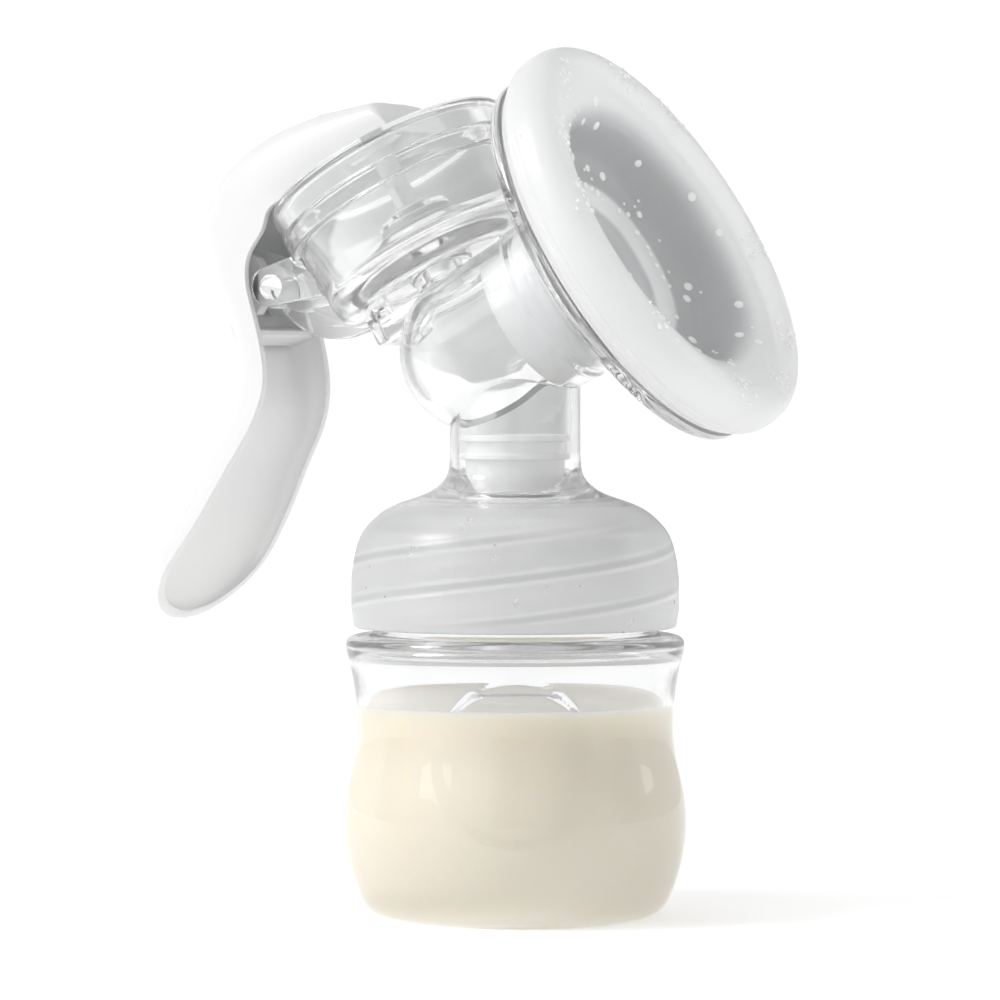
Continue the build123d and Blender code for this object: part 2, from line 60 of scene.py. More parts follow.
# ------------------------------------------------------------------ curves
def smooth(points, n=40):
    """n points on a natural cubic spline through the given ones."""
    p = np.array(points, float)
    m = len(p)
    t = np.concatenate([[0.0], np.cumsum(np.sqrt(np.linalg.norm(np.diff(p, axis=0), axis=1)))])
    h = np.diff(t)
    a = np.eye(m)
    rhs = np.zeros_like(p)
    for i in range(1, m - 1):
        a[i, i - 1:i + 2] = h[i - 1], 2 * (h[i - 1] + h[i]), h[i]
        rhs[i] = 6 * ((p[i + 1] - p[i]) / h[i] - (p[i] - p[i - 1]) / h[i - 1])
    bend = np.linalg.solve(a, rhs)
    s = np.linspace(0, t[-1], n)
    k = np.clip(np.searchsorted(t, s, side="right") - 1, 0, m - 2)
    w = ((s - t[k]) / h[k])[:, None]
    v = 1 - w
    curve = ((v ** 3 - v) * bend[k] + (w ** 3 - w) * bend[k + 1]) * (h[k] ** 2)[:, None] / 6
    return v * p[k] + w * p[k + 1] + curve


def rounded(corners, steps=6):
    """Outline through (x, y, fillet radius) corners; the ends stay as they are."""
    out = [np.array(corners[0][:2], float)]
    for before, here, after in zip(corners, corners[1:], corners[2:]):
        p = np.array(here[:2], float)
        r = here[2] if len(here) > 2 else 0
        if r <= 0:
            out.append(p)
            continue
        a = np.array(before[:2], float) - p
        b = np.array(after[:2], float) - p
        la, lb = np.linalg.norm(a), np.linalg.norm(b)
        a, b = a / la, b / lb
        half = math.acos(max(-1.0, min(1.0, float(a @ b)))) / 2
        d = min(r / math.tan(half), 0.48 * la, 0.48 * lb)
        for i in range(steps + 1):
            k = i / steps
            out.append(p + a * d * (1 - k) ** 2 + b * d * k ** 2)
    out.append(np.array(corners[-1][:2], float))
    return np.array(out)


def dense(points, step):
    """The same outline with no gap longer than step."""
    out = [points[0]]
    for a, b in zip(points[:-1], points[1:]):
        n = max(1, int(math.ceil(np.linalg.norm(b - a) / step)))
        out += [a + (b - a) * i / n for i in range(1, n + 1)]
    return np.array(out)


def ramp(x, a, b):
    """Smooth step from 0 at a to 1 at b."""
    t = np.clip((x - a) / (b - a), 0, 1)
    return t * t * (3 - 2 * t)


# ------------------------------------------------------------------ frames
def from_slant(p):
    """(u, v, w) in mm to world mm."""
    p = np.asarray(p, float)
    c, s = math.cos(TILT), math.sin(TILT)
    x = p[..., 0] * c - p[..., 2] * s
    z = AXIS_Z + p[..., 0] * s + p[..., 2] * c
    return np.stack([x, p[..., 1], z], axis=-1)


def about_z(r, h, a):
    return np.stack([r * np.cos(a), r * np.sin(a), h], axis=-1)


def about_u(r, h, a):
    return from_slant(np.stack([h, r * np.cos(a), r * np.sin(a)], axis=-1))


def about_w(r, h, a):
    return from_slant(np.stack([DOME_U + r * np.cos(a), r * np.sin(a), h], axis=-1))


def across(u, w):
    """Turns a lathe about the crosswise line through (u, w)."""
    return lambda r, h, a: from_slant(np.stack([u + r * np.cos(a), h, w + r * np.sin(a)], axis=-1))


# ------------------------------------------------------------------ meshes
def new_object(name, verts, faces, angle=32):
    mesh = bpy.data.meshes.new(name)
    mesh.from_pydata((np.asarray(verts) * MM).tolist(), [], faces)
    bm = bmesh.new()
    bm.from_mesh(mesh)
    bmesh.ops.remove_doubles(bm, verts=bm.verts, dist=2e-7)
    bmesh.ops.recalc_face_normals(bm, faces=bm.faces)
    bm.to_mesh(mesh)
    bm.free()
    obj = bpy.data.objects.new(name, mesh)
    bpy.context.scene.collection.objects.link(obj)
    soften(obj, angle)
    return obj


def soften(obj, angle=32):
    obj.data.shade_smooth()
    obj.data.set_sharp_from_angle(angle=math.radians(angle))


def grid_faces(rows, cols, close_rows=False, close_cols=True):
    faces = []
    for i in range(rows if close_rows else rows - 1):
        for j in range(cols if close_cols else cols - 1):
            a, b = i * cols + j, i * cols + (j + 1) % cols
            c, d = ((i + 1) % rows) * cols + (j + 1) % cols, ((i + 1) % rows) * cols + j
            faces.append((a, b, c, d))
    return faces


def lathe(name, loop, place, closed=False, seg=192, relief=None, angle=32):
    """Surface turned from (r, h) points; closed loops make a ring, open ones start and end on the axis."""
    loop = np.asarray(loop, float)
    a = np.linspace(0, 2 * math.pi, seg, endpoint=False)
    r = np.repeat(loop[:, :1], seg, axis=1)
    h = np.repeat(loop[:, 1:2], seg, axis=1)
    aa = np.repeat(a[None, :], len(loop), axis=0)
    if relief is not None:
        r = relief(r, h, aa)
    verts = place(r, h, aa).reshape(-1, 3)
    return new_object(name, verts, grid_faces(len(loop), seg, close_rows=closed), angle)


def prism(name, outline, y0, y1, place=None, bevel=0.0):
    """Flat plate: an (x, z) outline carried from y0 to y1."""
    outline = np.asarray(outline, float)
    n = len(outline)
    verts = [(x, y0, z) for x, z in outline] + [(x, y1, z) for x, z in outline]
    faces = [tuple(range(n)), tuple(range(2 * n - 1, n - 1, -1))]
    faces += [(i, (i + 1) % n, n + (i + 1) % n, n + i) for i in range(n)]
    verts = np.array(verts, float)
    if place is not None:
        verts = place(verts)
    obj = new_object(name, verts, faces)
    if bevel:
        m = obj.modifiers.new("edge", "BEVEL")
        m.width, m.segments, m.limit_method, m.angle_limit = bevel * MM, 3, "ANGLE", math.radians(40)
        apply(obj)
    return obj


def apply(obj):
    """Bakes the object's modifiers into its mesh."""
    bpy.context.view_layer.update()
    deps = bpy.context.evaluated_depsgraph_get()
    mesh = bpy.data.meshes.new_from_object(obj.evaluated_get(deps))
    obj.modifiers.clear()
    obj.data = mesh
    soften(obj)


def combine(a, b, operation):
    m = a.modifiers.new("combine", "BOOLEAN")
    m.operation, m.solver, m.object = operation, "MANIFOLD", b
    apply(a)
    bpy.data.objects.remove(b, do_unlink=True)


def join(target, others, angle=32):
    bm = bmesh.new()
    for o in [target] + others:
        bm.from_mesh(o.data)
    bm.to_mesh(target.data)
    bm.free()
    for o in others:
        bpy.data.objects.remove(o, do_unlink=True)
    soften(target, angle)
    return target


# ------------------------------------------------------------------ screw thread of bottle and collar
# rise of one turn, distance between ridges, height each climbs, where the first starts, and how much
# lower the collar's ridges sit than the bottle's
LEAD, PITCH, RISE, FIRST_Z, DROP = 24.0, 8.0, 12.5, 59.6, 3.2


def ridge_height(h, a, offset):
    """0 to 1 across the helical ridges whose centre lines start at FIRST_Z + offset."""
    d = (h - FIRST_Z - offset - LEAD * a / (2 * math.pi)) % PITCH
    d = np.where(d > PITCH / 2, d - PITCH, d)
    centre = h - d
    ends = ramp(centre, FIRST_Z + offset - 0.2, FIRST_Z + offset + 0.8)
    ends = ends * (1 - ramp(centre, FIRST_Z + offset + RISE - 0.8, FIRST_Z + offset + RISE + 0.2))
    return ends * (1 - ramp(np.abs(d), 0.75, 1.55))


# ------------------------------------------------------------------ bottle and milk
SIDE = [(25.2, 0.0), (28.9, 1.5), (31.1, 5.0), (33.2, 11.4), (34.05, 19.2), (33.3, 26.0),
        (31.9, 32.5), (31.4, 39.0), (31.9, 45.0), (33.0, 50.8), (33.6, 53.6), (33.1, 55.3), (31.4, 56.0)]
COIN_TURN, COIN_Z, COIN_R = math.radians(-64.0), 32.4, 15.8


def bottle_relief(r, h, a):
    """Raises the thread on the neck and sinks the round recess on the front."""
    neck = (r > 28.0) & (h > 57.6) & (h < 74.6)
    r = np.where(neck, r + 1.6 * ridge_height(h, a, 0.0), r)
    turn = (a - COIN_TURN + math.pi) % (2 * math.pi) - math.pi
    sideways = np.where(np.abs(turn) < math.pi / 2, r * np.sin(turn), 99)
    far = np.sqrt(sideways ** 2 + (h - COIN_Z) ** 2)
    skin = r > 30.3
    return np.where(skin, r - 0.55 * (1 - ramp(far, COIN_R - 1.3, COIN_R + 0.6)), r)


def make_bottle():
    outside = smooth(SIDE, 120)
    floor = rounded([(0, 0.9), (11.0, 0.9, 2.0), (14.5, 0.35, 2.0), (21.5, 0.35, 1.0), (22.6, 0.0, 0.8),
                     (25.2, 0.0)])
    neck = rounded([(31.4, 56.0), (28.3, 56.1, 1.4), (28.2, 75.0, 0.8), (26.2, 75.0, 0.8),
                    (26.2, 54.5, 2.6), (30.0, 54.3)])
    inside = smooth([(30.0, 54.3), (31.5, 53.7), (31.8, 52.2), (31.2, 49.4), (29.9, 44.0), (29.5, 39.0),
                     (30.0, 32.5), (31.35, 26.0), (32.05, 19.2), (31.2, 11.4), (29.3, 6.2), (26.4, 3.4),
                     (22.5, 2.6)], 110)
    loop = np.vstack([floor[:-1], outside[:-1], dense(neck, 0.4)[:-1], inside, [[0, 2.6]]])
    return lathe("bottle_shell", loop, about_z, seg=256, relief=bottle_relief)


def make_milk():
    wall = smooth([(22.5, 2.45), (26.5, 3.27), (29.42, 6.12), (31.35, 11.4), (32.2, 19.2), (31.5, 26.0),
                   (30.15, 32.5), (29.65, 39.0), (29.85, 42.4)], 90)
    top = smooth([(29.85, 42.4), (29.3, 42.08), (28.2, 41.95), (26.0, 41.9)], 10)
    loop = np.vstack([[[0, 2.45], [12.0, 2.45]], wall, top[1:], [[14.0, 41.9], [0, 41.9]]])
    return lathe("milk_fill", loop, about_z, seg=256)


# ------------------------------------------------------------------ clear pump body
def tube_solid(r, front, flare, rim, end_u):
    """Outline of the chamber's round end, the tube, the flaring funnel and its rim."""
    dome = [(r * math.sin(t), DOME_U - r * math.cos(t)) for t in np.linspace(0, math.pi / 2, 40)]
    straight = dense(np.array([(r, DOME_U), (r, front)]), 0.8)
    horn = smooth([(r, front - 1.5), (r, front)] + flare, 40)[3:]
    return np.vstack([dome, straight[1:-1], horn, rim, [[0, end_u]]])


def make_pump_body():
    outer = tube_solid(16.6, 12.6, [(17.6, 15.2), (21.2, 18.9), (30.2, 24.0), (37.2, 26.2)],
                       rounded([(37.4, 26.2), (40.6, 26.0, 1.2), (40.6, 28.9, 1.2), (38.4, 28.9)]), 28.9)
    body = lathe("pump_shell", outer, about_u, seg=224)
    band = rounded([(16.0, 9.4), (16.62, 9.4), (17.0, 10.4, 0.6), (16.62, 11.4), (16.0, 11.4)])
    bead = lathe("bead", band, about_u, closed=True, seg=224)
    combine(body, bead, "UNION")
    bowl = rounded([(0, 16.3), (22.8, 16.3, 5.2), (23.75, 33.4, 0.3), (25.6, 33.4, 0.7), (25.6, 36.7, 0.5),
                    (23.9, 36.7, 0.2), (23.9, 41.6, 0.3), (0, 41.6)], 10)
    combine(body, lathe("bowl", bowl, about_w, seg=224), "UNION")
    saddle = rounded([(-26.0, 11.0), (-26.0, 19.4, 0.8), (8.6, 19.4, 0.8), (8.6, 11.0)], 4)
    combine(body, prism("saddle", saddle, -5.0, 5.0, from_slant, bevel=0.6), "UNION")
    ring = rounded([(6.0, 15.2), (6.3, 18.3, 0.8), (16.4, 18.3, 0.8), (17.2, 15.2)], 5)
    combine(body, lathe("recess", ring, about_w, closed=True, seg=160), "DIFFERENCE")
    for side in (-1, 1):
        y0, y1 = sorted((side * 8.4, side * 11.0))
        eye = [(HINGE_U + 4.0 * math.cos(t), HINGE_W + 4.0 * math.sin(t))
               for t in np.linspace(math.radians(84), math.radians(253), 22)]
        arm = np.vstack([eye, [(-29.5, 24.5), (-26.5, 24.5), (-26.5, 33.8), (-33.0, 35.2)]])
        combine(body, prism("lug", arm, y0, y1, from_slant, bevel=0.35), "UNION")
    bar = rounded([(0, -11.0), (2.5, -11.0, 0.5), (2.5, 11.0, 0.5), (0, 11.0)])
    pin = lathe("pin", bar, across(HINGE_U, HINGE_W), seg=48)
    combine(body, pin, "UNION")
    edge = [(-27.5 + 15.6 * math.cos(t), 31.6 + 15.6 * math.sin(t))
            for t in np.linspace(math.radians(174), math.radians(262), 30)]
    fin = np.vstack([edge, [(-22.0, 14.0), (-22.0, 30.0), (-36.0, 34.0)]])
    combine(body, prism("fin", fin, -1.1, 1.1, from_slant, bevel=0.3), "UNION")

    roof = smooth([(14.3, 86.3), (16.6, 84.4), (20.6, 82.8), (25.3, 80.9), (28.7, 78.2), (30.6, 75.6),
                   (31.9, 71.4), (32.45, 67.2)], 60)
    foot = rounded([(32.5, 66.5), (32.5, 61.0, 6.0), (31.9, 57.4, 0.6), (0, 57.4)])
    neck = smooth([(12.9, 91.5), (13.1, 89.0), (13.6, 87.3), (14.3, 86.3)], 14)
    pipe = dense(np.array([(12.9, 110.0), (12.9, 91.5)]), 1.0)
    collar = np.vstack([[[0, 110.0]], pipe[:-1], neck[:-1], roof, dense(foot, 0.8)])

    combine(body, lathe("collar", dense(collar, 0.5), about_z, seg=256), "UNION")

    inner = tube_solid(14.6, 14.4, [(15.5, 16.9), (19.4, 20.8), (29.2, 25.9), (36.4, 27.4)],
                       np.array([(38.2, 27.5), (38.2, 31.0)]), 31.0)
    combine(body, lathe("tube_hollow", inner, about_u, seg=224), "DIFFERENCE")
    bowl_in = rounded([(0, 20.2), (21.2, 20.2, 4.2), (22.3, 36.0, 0.0), (22.3, 46.0), (0, 46.0)], 8)
    combine(body, lathe("bowl_hollow", bowl_in, about_w, seg=224), "DIFFERENCE")
    port = np.array([(0, 8.0), (3.0, 8.0), (3.0, 24.0), (0, 24.0)])
    combine(body, lathe("port", port, about_w, seg=64), "DIFFERENCE")
    hollow = rounded([(0, 50.0), (30.4, 50.0), (30.4, 73.3, 0.5), (28.4, 75.3, 0.3), (25.9, 75.3, 0.2),
                      (25.9, 71.6, 0.4), (24.3, 71.6, 0.4), (24.3, 78.9, 0.6), (20.0, 81.0, 1.0),
                      (12.9, 83.0, 0.4), (12.9, 79.5, 0.3), (11.2, 79.5, 0.3), (11.2, 112.0),
                      (0, 112.0)], 4)

    def collar_relief(r, h, a):
        bore = (r > 30.2) & (h > 56.0) & (h < 73.4)
        return np.where(bore, r - 1.7 * ridge_height(h, a, -DROP), r)

    inside = lathe("collar_hollow", dense(hollow, 0.45), about_z, seg=224, relief=collar_relief)
    combine(body, inside, "DIFFERENCE")
    return body


# ------------------------------------------------------------------ silicone cushion
LINER_FACE = [(14.2, 24.6), (17.6, 26.5), (21.6, 27.3), (23.9, 28.7), (25.7, 32.2), (27.7, 35.6),
              (31.2, 38.2), (35.2, 39.9), (37.6, 40.4), (40.4, 39.6), (42.2, 37.3), (42.6, 34.4),
              (42.1, 31.6), (40.4, 29.7)]


def face_curve():
    sleeve = np.array([(12.7, 20.0), (12.9, 21.9), (13.4, 23.5)])
    return smooth(np.vstack([sleeve, LINER_FACE]), 190)


def cushion_relief(r, h, a):
    """Fine moulded line on the side of the lip, between two ticks."""
    side = (r > 41.0) & (h > 30.5) & (h < 34.6)
    span = ramp(a, 2.55, 2.60) * (1 - ramp(a, 5.35, 5.40))
    line = np.exp(-((h - 33.2) / 0.28) ** 2) + np.exp(-((h - 31.9) / 0.28) ** 2)
    ticks = np.exp(-((a - 2.6) / 0.025) ** 2) + np.exp(-((a - 5.35) / 0.025) ** 2)
    return np.where(side, r - 0.22 * line * span + 0.35 * ticks, r)


def make_cushion():
    back = smooth([(37.4, 31.2), (36.9, 34.0), (35.4, 36.0), (32.2, 35.9), (29.7, 34.2), (27.6, 31.2),
                   (25.2, 27.1), (22.4, 25.6), (18.6, 24.9), (15.6, 23.0), (14.35, 19.5)], 110)
    edge = rounded([(40.4, 29.7), (40.3, 29.2, 0.3), (37.7, 29.2, 0.3), (37.4, 31.2)], 4)
    tail = rounded([(14.35, 19.5), (14.35, 3.5, 0.5), (12.7, 3.5, 0.5), (12.7, 20.0)], 4)
    loop = np.vstack([face_curve(), edge[1:-1], back, dense(tail, 1.2)[1:-1]])
    return lathe("cushion_skin", loop, about_u, closed=True, seg=288, relief=cushion_relief)


def make_dots():
    """White raised dots: clusters round the lip, larger ones down the well, a row round the throat."""
    rng = np.random.default_rng(11)
    curve = face_curve()
    length = np.concatenate([[0], np.cumsum(np.linalg.norm(np.diff(curve, axis=0), axis=1))])

    def at(radius):
        front = curve[:150]
        return float(np.interp(radius, front[:, 0], length[:150]))

    spots = []
    for k in range(10):
        middle = math.radians(36 * k + rng.uniform(-9, 9))
        for _ in range(int(rng.integers(15, 24))):
            turn, radius = middle + rng.normal(0, 0.085), rng.normal(36.6, 1.9)
            spots.append((turn, radius, rng.choice([0.26, 0.36, 0.5, 0.66], p=[0.3, 0.35, 0.25, 0.1])))
    for _ in range(100):
        turn, radius = rng.uniform(0, 2 * math.pi), rng.uniform(19.0, 30.5)
        spots.append((turn, radius, rng.choice([0.35, 0.8, 0.95, 1.05], p=[0.3, 0.25, 0.25, 0.2])))
    for _ in range(66):
        spots.append((rng.uniform(0, 2 * math.pi), rng.normal(17.2, 0.5), rng.uniform(0.35, 0.7)))
    placed, verts, faces = [], [], []
    for a, radius, size in spots:
        radius = float(np.clip(radius, 15.4, 40.6))
        spot = np.array([radius * math.cos(a), radius * math.sin(a)])
        if any(np.hypot(*(spot - q)) < 1.3 * (size + w) for q, w in placed):
            continue
        placed.append((spot, size))
        t = at(radius)
        here, ahead = [np.array([np.interp(d, length, curve[:, i]) for i in (0, 1)]) for d in (t, t + 0.2)]
        along = (ahead - here) / np.linalg.norm(ahead - here)
        normal = np.array([-along[1], along[0]])
        base = len(verts)
        rings = [(1.0, -0.06), (0.98, 0.10), (0.82, 0.19), (0.45, 0.25)]
        for reach, lift in rings:
            for j in range(14):
                t2 = 2 * math.pi * j / 14
                p = here + along * size * reach * math.cos(t2) + normal * lift
                turn = a + size * reach * math.sin(t2) / p[0]
                verts.append(about_u(p[0], p[1], turn))
        top = here + normal * 0.27
        verts.append(about_u(top[0], top[1], a))
        for i in range(3):
            for j in range(14):
                k = (j + 1) % 14
                low, high = base + 14 * i, base + 14 * i + 14
                faces.append((low + j, low + k, high + k, high + j))
        faces += [(base + 42 + j, base + 42 + (j + 1) % 14, base + 56) for j in range(14)]
        faces.append(tuple(base + j for j in range(13, -1, -1)))
    return new_object("cushion_dots", verts, faces, 50)


# ------------------------------------------------------------------ valve
def make_valve():
    rows = [(92.6, 8.5), (95.3, 8.5), (95.6, 8.8), (95.6, 10.7), (95.4, 10.95), (94.4, 10.95), (94.2, 10.7),
            (94.15, 10.0), (93.9, 9.9), (92.1, 9.9), (91.9, 10.1), (91.85, 10.7), (91.6, 10.95),
            (90.8, 10.95), (90.6, 10.7), (90.55, 10.1), (90.3, 9.9), (87.0, 9.9), (84.0, 9.9)]
    rows = [(z, r, 99.0) for z, r in rows]
    for k in np.linspace(0.08, 1, 14):
        rows.append((84.0 - 12.5 * k, 9.9 - 0.4 * k, 10.9 - 9.4 * k))
    rows += [(71.4, 9.2, 1.1), (71.4, 6.5, 0.2), (72.4, 7.9, 0.2)]
    for k in np.linspace(0.9, 0, 12):
        rows.append((84.0 - 11.5 * k, 8.5, 9.5 - 9.3 * k))
    rows.append((88.0, 8.5, 99.0))
    a = np.linspace(0, 2 * math.pi, 128, endpoint=False)
    verts = [np.stack([np.clip(r * np.cos(a), -half, half), r * np.sin(a), np.full_like(a, z)], axis=-1)
             for z, r, half in rows]
    return new_object("valve_cup", np.vstack(verts), grid_faces(len(rows), len(a), close_rows=True), 40)


# ------------------------------------------------------------------ diaphragm and stem
def make_diaphragm():
    top = rounded([(24.1, 41.75), (24.1, 37.4, 0.2), (25.6, 37.4, 0.35), (25.6, 43.5, 1.1),
                   (21.2, 43.5, 0.8), (20.3, 35.0)], 6)
    inner = smooth([(20.3, 35.0), (19.4, 30.0), (18.9, 26.8), (17.6, 24.4), (15.3, 23.1), (12.4, 23.4),
                    (10.0, 25.2), (8.4, 27.2), (7.5, 28.6)], 60)
    outer = smooth([(6.3, 25.9), (7.6, 23.9), (9.8, 22.5), (13.6, 21.6), (17.4, 22.2), (19.8, 24.8),
                    (20.4, 28.0), (21.0, 32.0), (21.9, 36.0)], 60)
    outer = np.vstack([outer, rounded([(21.9, 36.0), (21.95, 41.75, 0.3), (24.1, 41.75)], 4)[1:-1]])
    loop = np.vstack([dense(top, 0.6)[:-1], inner, outer])
    skin = lathe("diaphragm_cup", loop, about_w, closed=True, seg=224)
    hub = rounded([(0, 25.8), (6.3, 25.8, 0.6), (7.7, 28.4, 0.4), (7.0, 30.6, 0.6), (3.0, 30.6, 0.3),
                   (3.0, 29.4, 0.2), (5.4, 29.4, 0.2), (5.4, 27.3, 0.2), (0, 27.3)], 5)
    return skin, lathe("diaphragm_hub", hub, about_w, seg=128)


def make_stem():
    line = rounded([(0, 27.6), (5.1, 27.6, 0.4), (5.1, 29.1, 0.4), (2.7, 29.1, 0.3), (2.7, 30.9, 0.3),
                    (5.0, 30.9, 0.3), (5.0, 31.7, 0.3), (2.9, 33.0, 1.2), (2.4, 35.6, 2.0),
                    (2.4, 47.4, 0.5), (1.0, 49.9, 0.4), (0, 49.9)], 5)
    shaft = lathe("stem_shaft", dense(line, 1.0), about_w, seg=96)
    bar = rounded([(0, -6.4), (1.6, -6.4, 0.35), (1.6, 6.4, 0.35), (0, 6.4)], 4)
    pin = lathe("stem_pin", bar, across(DOME_U, SLOT_W), seg=48)
    plate = [(DOME_U - 0.8, 31.0), (DOME_U + 0.8, 31.0), (DOME_U + 0.8, 37.4), (DOME_U - 0.8, 37.4)]
    rib = prism("stem_rib", plate, -4.1, 4.1, from_slant, bevel=0.25)
    return join(shaft, [pin, rib])


# ------------------------------------------------------------------ handle
def slant2(u, w):
    """World (x, z) of a slanted (u, w) point."""
    p = from_slant([u, 0, w])
    return (float(p[0]), float(p[2]))


HOOD_W = 44.3   # the hood's rim is level with the slanted bowl at this height
# stations from the hood's front end to the lever's tip: back line, rim line, half width, squareness
STATIONS = [((-25.1, 161.9), slant2(1.8, HOOD_W), 13.8, 4.6),
            ((-33.2, 160.6), slant2(-8.0, HOOD_W), 14.0, 4.2),
            ((-42.5, 158.6), slant2(-16.0, HOOD_W), 14.0, 3.8),
            ((-52.0, 155.0), slant2(-23.0, HOOD_W), 14.0, 3.6),
            ((-60.2, 149.2), (-47.9, 140.2), 14.0, 3.4), ((-65.2, 141.8), (-49.2, 136.6), 14.0, 3.4),
            ((-66.2, 134.2), (-52.2, 131.8), 14.0, 3.4), ((-63.5, 126.0), (-53.0, 126.0), 14.0, 3.3),
            ((-60.3, 118.0), (-51.2, 118.8), 14.0, 3.1), ((-57.9, 110.8), (-49.3, 111.4), 14.2, 3.0),
            ((-56.6, 104.0), (-48.8, 104.2), 14.5, 3.0), ((-58.2, 97.6), (-51.0, 96.4), 16.1, 3.0),
            ((-61.3, 92.0), (-55.2, 88.8), 17.6, 3.0), ((-66.1, 82.6), (-60.2, 79.5), 19.6, 3.0),
            ((-71.2, 73.4), (-65.8, 70.6), 20.7, 3.0), ((-74.8, 66.7), (-70.2, 64.4), 20.7, 3.0),
            ((-77.6, 58.8), (-75.0, 57.4), 20.6, 3.0)]


def handle_hull(rows, cols, inset, wall, lift):
    """Half-tube surface through the stations, moved in by inset; both ends close smoothly."""
    back = smooth([s[0] for s in STATIONS], 600)
    rim = smooth([s[1] for s in STATIONS], 600)
    half = smooth([(i, s[2]) for i, s in enumerate(STATIONS)], 600)[:, 1]
    square = smooth([(i, s[3]) for i, s in enumerate(STATIONS)], 600)[:, 1]
    mid = (back + rim) / 2
    run = np.concatenate([[0], np.cumsum(np.linalg.norm(np.diff(mid, axis=0), axis=1))])
    total = run[-1]
    ease = (1 - np.cos(np.linspace(0, math.pi, rows))) / 2
    ease = 0.7 * ease + 0.3 * np.linspace(0, 1, rows)
    s = inset + (total - 2 * inset) * ease
    theta = np.linspace(0, math.pi, cols)
    out = np.zeros((rows, cols, 3))
    for i, here in enumerate(s):
        b = np.array([np.interp(here, run, back[:, k]) for k in (0, 1)])
        f = np.array([np.interp(here, run, rim[:, k]) for k in (0, 1)])
        hw = np.interp(here, run, half)
        p = np.interp(here, run, square)
        deep = np.linalg.norm(b - f)
        towards = (b - f) / deep
        front, tip = min(1.0, (here - inset) / 2.6), min(1.0, (total - inset - here) / (15.5 - inset))
        close = (1 - (1 - front) ** 2.6) ** (1 / 2.6)
        hw = (hw - inset) * (1 - (1 - tip) ** 2) ** 0.5
        thin = min(1.0, (total - inset - here) / 2.2)
        depth = (deep - min(inset, wall * deep) - lift) * close * (1 - (1 - thin) ** 2) ** 0.5
        y = -hw * np.sign(np.cos(theta)) * np.abs(np.cos(theta)) ** (2 / p)
        d = lift + depth * np.abs(np.sin(theta)) ** (2 / p)
        out[i, :, 0] = f[0] + towards[0] * d
        out[i, :, 1] = y
        out[i, :, 2] = f[1] + towards[1] * d
    return out


def make_handle():
    rows, cols = 170, 64
    outer = handle_hull(rows, cols, 0.0, 0.0, 0.55)
    inner = handle_hull(rows, cols, 2.1, 0.68, 0.55)
    n = rows * cols
    verts = list(outer.reshape(-1, 3)) + list(inner.reshape(-1, 3))
    faces = grid_faces(rows, cols, close_cols=False)
    faces += [tuple(n + k for k in reversed(f)) for f in grid_faces(rows, cols, close_cols=False)]
    border = [(i, 0) for i in range(rows)] + [(rows - 1, j) for j in range(1, cols)]
    border += [(i, cols - 1) for i in range(rows - 2, -1, -1)] + [(0, j) for j in range(cols - 2, 0, -1)]
    levels = [(0.10, 0.36), (0.30, 0.55), (0.70, 0.55), (0.90, 0.36)]
    first = len(verts)
    for i, j in border:
        a, b = outer[i, j], inner[i, j]
        down = outer[i, 0] - outer[i, cols // 2]
        size = np.linalg.norm(down)
        down = down / size if size > 1e-6 else np.array([0.87, 0, -0.5])
        if size < 0.05 and i < 5:
            down = np.array([0.5, 0, -0.866])
        for across, drop in levels:
            verts.append(a + (b - a) * across + down * drop)
    m = len(border)
    for k in range(m):
        i, j = border[k]
        i2, j2 = border[(k + 1) % m]
        ring = [i * cols + j] + [first + 4 * k + q for q in range(4)] + [n + i * cols + j]
        nxt = [i2 * cols + j2] + [first + 4 * ((k + 1) % m) + q for q in range(4)] + [n + i2 * cols + j2]
        faces += [(ring[q], ring[q + 1], nxt[q + 1], nxt[q]) for q in range(5)]
    shell = new_object("handle_shell", verts, faces, 60)

    extras = []
    px, pz = slant2(HINGE_U, HINGE_W)
    for side in (-1, 1):
        y0, y1 = sorted((side * 4.4, side * 7.6))
        gap = math.radians(20)
        outside = [(px + 4.4 * math.cos(t), pz + 4.4 * math.sin(t))
                   for t in np.linspace(-gap + math.radians(52), -gap - math.radians(52) + 2 * math.pi, 40)]
        hole = [(px + 2.6 * math.cos(t), pz + 2.6 * math.sin(t))
                for t in np.linspace(-gap - math.radians(56) + 2 * math.pi, -gap + math.radians(56), 28)]
        extras.append(prism("clip_eye", outside + hole, y0, y1, bevel=0.3))
        web = [(px - 2.8, pz + 3.3), (-54.2, 131.0), (-62.6, 133.6), (-61.0, 126.0), (-57.9, 119.6),
               (-54.2, 119.4), (px - 2.8, pz - 3.3)]
        extras.append(prism("clip_web", web, y0, y1, bevel=0.3))
        y0, y1 = sorted((side * 2.9, side * 5.3))
        hook = [(DOME_U - 6.4, 58.0), (DOME_U - 5.0, 44.5), (DOME_U + 7.0, 44.5), (DOME_U + 7.0, 45.8)]
        hook += [(DOME_U + 2.2 * math.cos(t), SLOT_W + 2.2 * math.sin(t))
                 for t in np.linspace(math.radians(270), math.radians(90), 16)]
        hook += [(DOME_U + 7.0, 50.2), (DOME_U + 7.4, 52.6)]
        extras.append(prism("hook", hook, y0, y1, from_slant, bevel=0.25))
    rib = rounded([(-57.6, 117.2), (-55.6, 113.2), (-51.7, 115.1, 0.5), (-51.9, 116.4, 0.5),
                   (-57.7, 117.3)], 4)
    extras.append(prism("cross_rib", rib[:-1], -12.9, 12.9, bevel=0.25))
    return join(shell, extras, 60)


